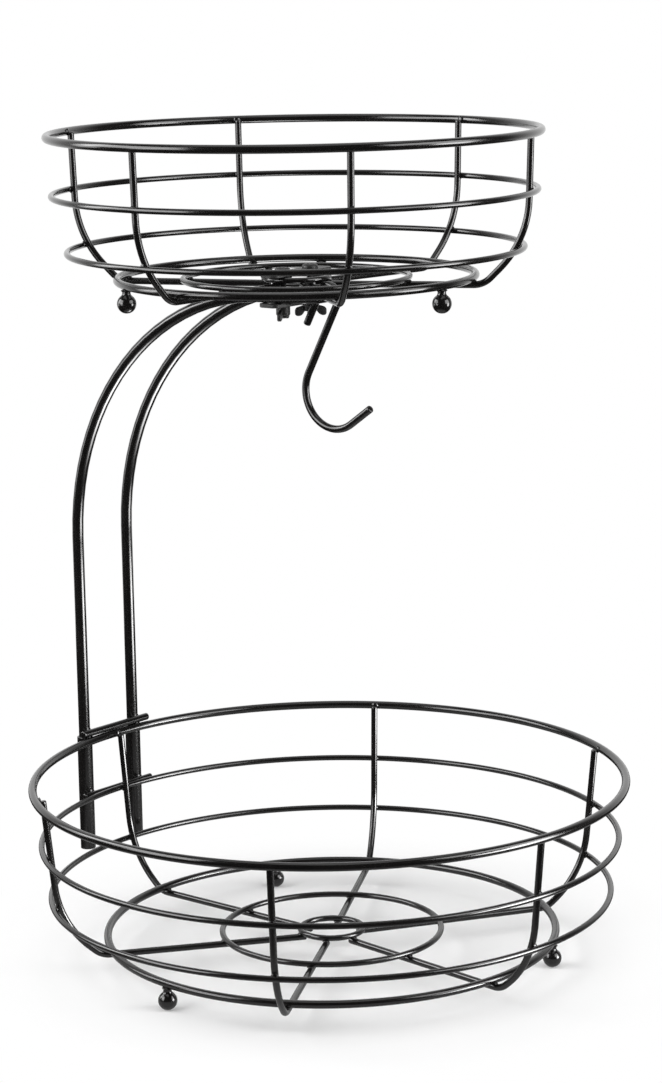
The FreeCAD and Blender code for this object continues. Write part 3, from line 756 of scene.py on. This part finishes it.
def join_mesh(bm, other):
    """Move everything in another mesh into this one."""
    carried = bpy.data.meshes.new("carried")
    other.to_mesh(carried)
    other.free()
    bm.from_mesh(carried)
    bpy.data.meshes.remove(carried)


for side, angle in NUT_ANGLES.items():
    node = f"wing_nut_{side}"
    low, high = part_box(node)
    nut_height = high.z - low.z
    bm = bmesh.new()
    corners = [bm.verts.new((NUT_HALF_SPAN * out, 0, -nut_height * down)) for out, down in EAR_OUTLINE_SHARES]
    bm.faces.new(corners)
    bevel(bm, corners[EAR_ROUNDED_CORNERS], EAR_ROUND, EAR_ROUND_STEPS, affect="VERTICES")
    bmesh.ops.translate(bm, verts=bm.verts, vec=-Y_WAY * EAR_THICKNESS / 2)
    grown = bmesh.ops.extrude_face_region(bm, geom=bm.faces[:])["geom"]
    bmesh.ops.translate(bm, verts=only(BMVert, grown), vec=Y_WAY * EAR_THICKNESS)
    bmesh.ops.recalc_face_normals(bm, faces=bm.faces)
    bevel(bm, sharp_edges(bm), EAR_EDGE, EAR_EDGE_STEPS)
    second_ear = bmesh.ops.duplicate(bm, geom=bm.verts[:] + bm.edges[:] + bm.faces[:])["geom"]
    bmesh.ops.rotate(bm, verts=only(BMVert, second_ear), matrix=Matrix.Rotation(math.pi, 3, "Z"))
    hub = bmesh.new()
    upright_wall(hub, NUT_BORE, NUT_HUB_RADIUS, NUT_HUB_HEIGHT)
    turn_profile(hub, -UP * NUT_HUB_HEIGHT / 2)
    bevel(hub, sharp_edges(hub), NUT_HUB_EDGE, NUT_HUB_EDGE_STEPS)
    join_mesh(bm, hub)
    bmesh.ops.rotate(bm, verts=bm.verts, matrix=Matrix.Rotation(angle, 3, "Z"))
    bmesh.ops.translate(bm, verts=bm.verts, vec=axis_point(SCREWS[side], high.z))
    dress(new_object(f"{node}_cast", bm, fixing_black), f"{side}_nut", "fixing_paint", node)

# Hanging hook
# One steel wire bent to a tight loop that rides over the stand's front run, a straight shank and an open J.
# It is coated like the baskets and only hangs there, so it swings on the run.
HOOK_WIRE = 0.0038
HOOK_LEAN = math.radians(28.3)
HOOK_TOP_BEND = 0.0060
HOOK_GAP = 0.0003
HOOK_STUB = 0.0195
HOOK_SHANK = 0.0402
HOOK_BEND = 0.0183
HOOK_TIP = 0.0155
HOOK_TIP_ANGLE = math.radians(35)

hook_drop = HOOK_TOP_BEND - (HOOK_WIRE + ARM_WIRE) / 2 - HOOK_GAP
up_stub = UP * math.cos(HOOK_LEAN) - Y_WAY * math.sin(HOOK_LEAN)
from_bend = Y_WAY * math.cos(HOOK_LEAN) + UP * math.sin(HOOK_LEAN)
front_middle = Vector((0, front_run, arm_top))
hook_start = front_middle + from_bend * HOOK_TOP_BEND - up_stub * (hook_drop + HOOK_STUB)
j_turn = QUARTER_TURN + HOOK_LEAN + HOOK_TIP_ANGLE
steps = [Run(HOOK_STUB), Bend(HOOK_TOP_BEND, math.pi, X_WAY), Run(HOOK_SHANK),
         Bend(HOOK_BEND, j_turn, -X_WAY), Run(HOOK_TIP)]
bm = bent_wire(HOOK_WIRE, hook_start, up_stub, steps)
dress(new_object("hanging_hook_wire", bm, wire_black), "hook", "wire_paint", "hanging_hook")
